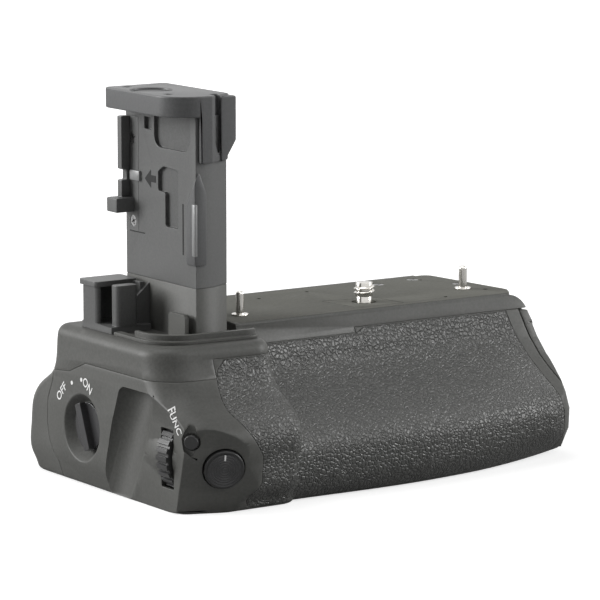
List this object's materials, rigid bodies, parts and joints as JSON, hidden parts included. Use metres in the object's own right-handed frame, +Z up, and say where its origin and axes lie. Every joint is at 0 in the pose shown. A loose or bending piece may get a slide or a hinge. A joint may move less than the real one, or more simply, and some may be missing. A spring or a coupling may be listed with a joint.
{
  "type": "camera battery grip",
  "caption": "Battery grip for a mirrorless camera, with the tower that goes up into the battery chamber, a captive mounting screw and vertical controls.",
  "frame": {"origin": "centre of the bounding box at the bottom face", "axes": "+X along the grip towards the battery door, -Y towards the front of the camera, +Z up towards the camera"},
  "size_m": [0.1472, 0.0927, 0.1158],
  "materials": {
    "shell": "satin",
    "housing": "satin",
    "rubber": "matte",
    "plate": "satin",
    "tower": "satin",
    "black": "gloss",
    "knob": "semi-gloss",
    "nickel": "polished",
    "steel": "satin",
    "brass": "satin"
  },
  "bodies": {
    "grip": {"top_shell": "shell", "front_housing": "housing", "rear_shell": "housing", "grip_rubber": "rubber", "thumb_rubber": "rubber", "dial_shaft": "steel", "rear_dial_shaft": "steel", "screw_bush": "brass", "wheel_spindle": "steel", "idler_pin": "steel", "top_plate": "plate", "plate_screws": "steel", "locating_pins": "nickel", "base_plate": "housing", "base_screws": "steel", "tripod_socket": "steel", "flat_contact_block": "black", "flat_contacts": "brass", "upright_contact_block": "black", "upright_contacts": "brass", "hinge_pin": "steel", "tower_column": "tower", "tower_strip": "tower", "contact_post": "black", "tower_screws": "steel", "tower_cap": "tower", "tower_side_cover": "tower", "deck_rim": "shell", "rim_tongue": "shell", "gusset": "shell", "door_holder": "shell"},
    "mounting_screw": {"mounting_screw": "nickel", "screw_gear": "steel"},
    "thumbwheel": {"thumbwheel": "knob"},
    "idler_gear": {"idler_gear": "steel"},
    "main_dial": {"main_dial": "knob"},
    "rear_dial": {"rear_dial": "knob"},
    "power_switch": {"power_switch": "knob"},
    "shutter_button": {"shutter_button": "knob"},
    "function_button": {"function_button": "knob"},
    "rear_button_1": {"rear_button_1": "knob"},
    "rear_button_2": {"rear_button_2": "knob"},
    "rear_button_3": {"rear_button_3": "knob"},
    "joystick_gimbal": {"joystick_gimbal": "knob"},
    "joystick_cap": {"joystick_cap": "rubber"},
    "battery_door": {"battery_door": "housing"},
    "door_latch": {"door_latch": "knob"},
    "battery_lock": {"battery_lock": "knob"}
  },
  "joints": [
    {"name": "thumbwheel_turn", "type": "hinge", "parent": "grip", "child": "thumbwheel", "pos_m": [-0.00871, 0.02229, 0.04], "axis": [0, 0, 1], "continuous": true},
    {"name": "idler_turn", "type": "hinge", "parent": "grip", "child": "idler_gear", "pos_m": [0.00407, 0.01129, 0.0435], "axis": [0, 0, 1], "continuous": true},
    {"name": "screw_turn", "type": "hinge", "parent": "grip", "child": "mounting_screw", "pos_m": [0.01685, 0.0003, 0.048], "axis": [0, 0, 1], "continuous": true},
    {"name": "main_dial_turn", "type": "hinge", "parent": "grip", "child": "main_dial", "pos_m": [-0.0623, -0.03, 0.0157], "axis": [0, 1, 0], "continuous": true},
    {"name": "rear_dial_turn", "type": "hinge", "parent": "grip", "child": "rear_dial", "pos_m": [-0.0449, 0.0291, 0.0384], "axis": [1, 0, 0], "continuous": true},
    {"name": "power_switch_turn", "type": "hinge", "parent": "grip", "child": "power_switch", "pos_m": [-0.0713, 0.0136, 0.0175], "axis": [1, 0, 0], "range_deg": [0, 26]},
    {"name": "shutter_button_press", "type": "slide", "parent": "grip", "child": "shutter_button", "axis": [0.3622, 0.9054, 0.2213], "range_m": [0, 0.0007], "stiffness_N_per_m": 400},
    {"name": "function_button_press", "type": "slide", "parent": "grip", "child": "function_button", "axis": [0.776, 0.6308, 0], "range_m": [0, 0.0004], "stiffness_N_per_m": 400},
    {"name": "rear_button_1_press", "type": "slide", "parent": "grip", "child": "rear_button_1", "axis": [0, -1, 0], "range_m": [0, 0.0005], "stiffness_N_per_m": 400},
    {"name": "rear_button_2_press", "type": "slide", "parent": "grip", "child": "rear_button_2", "axis": [0, -1, 0], "range_m": [0, 0.0005], "stiffness_N_per_m": 400},
    {"name": "rear_button_3_press", "type": "slide", "parent": "grip", "child": "rear_button_3", "axis": [0, -1, 0], "range_m": [0, 0.0005], "stiffness_N_per_m": 400},
    {"name": "joystick_up_down", "type": "hinge", "parent": "grip", "child": "joystick_gimbal", "pos_m": [-0.0325, 0.0274, 0.038], "axis": [1, 0, 0], "range_deg": [-8, 8], "stiffness_Nm_per_rad": 0.02},
    {"name": "joystick_side", "type": "hinge", "parent": "joystick_gimbal", "child": "joystick_cap", "pos_m": [-0.0325, 0.0274, 0.038], "axis": [0, 0, 1], "range_deg": [-8, 8], "stiffness_Nm_per_rad": 0.02},
    {"name": "battery_door_swing", "type": "hinge", "parent": "grip", "child": "battery_door", "pos_m": [0.06521, 0.03043, 0.01774], "axis": [-0.1182, -0.0106, 0.9929], "range_deg": [0, 100]},
    {"name": "door_latch_slide", "type": "slide", "parent": "battery_door", "child": "door_latch", "axis": [-0.1182, -0.0106, 0.9929], "range_m": [0, 0.0026]},
    {"name": "battery_lock_slide", "type": "slide", "parent": "grip", "child": "battery_lock", "axis": [-0.1182, -0.0106, 0.9929], "range_m": [0, 0.0014], "stiffness_N_per_m": 200}
  ],
  "couplings": [
    {"joint": "idler_turn", "follows": "thumbwheel_turn", "ratio": -0.90909},
    {"joint": "screw_turn", "follows": "thumbwheel_turn", "ratio": 1}
  ]
}
